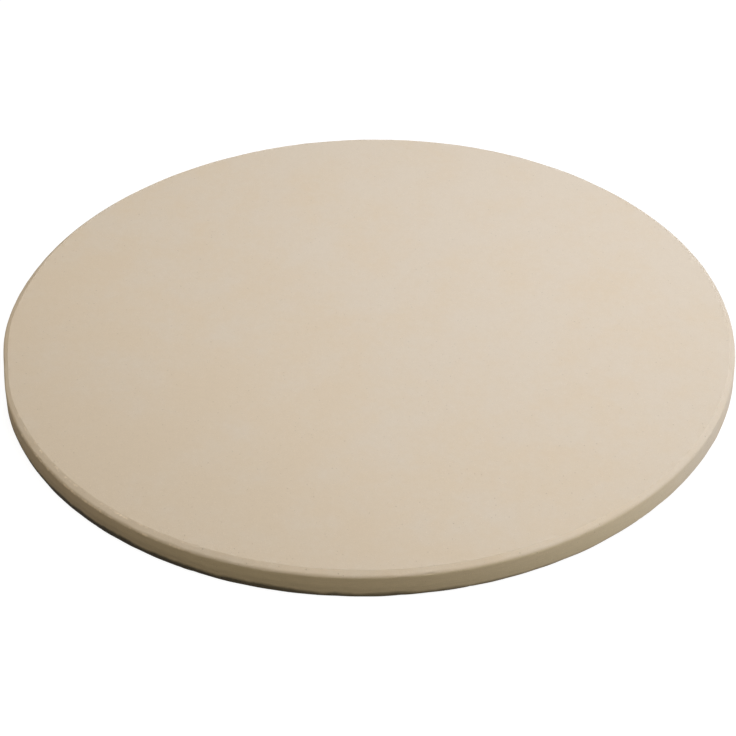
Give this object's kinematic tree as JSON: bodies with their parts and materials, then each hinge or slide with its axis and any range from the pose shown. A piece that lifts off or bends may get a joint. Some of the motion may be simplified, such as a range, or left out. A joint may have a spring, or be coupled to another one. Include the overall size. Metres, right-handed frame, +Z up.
{
  "type": "pizza stone",
  "caption": "Round flat pizza stone of unglazed fired ceramic, with a narrow bevel round the baking face and a rounded lower edge, to lie on an oven shelf and bake on.",
  "frame": {"origin": "centre of the flat underside, on the surface that the stone lies on", "axes": "+Z up along the disc's axis, out of the baking face; +X and +Y lie in the underside, and since the disc is round no direction in it is a front"},
  "size_m": [0.38, 0.38, 0.015],
  "materials": {
    "stone": "matte unglazed fired clay, warm beige, with a fine grain"
  },
  "bodies": {
    "root": {"baking_stone": "stone"}
  },
  "joints": []
}
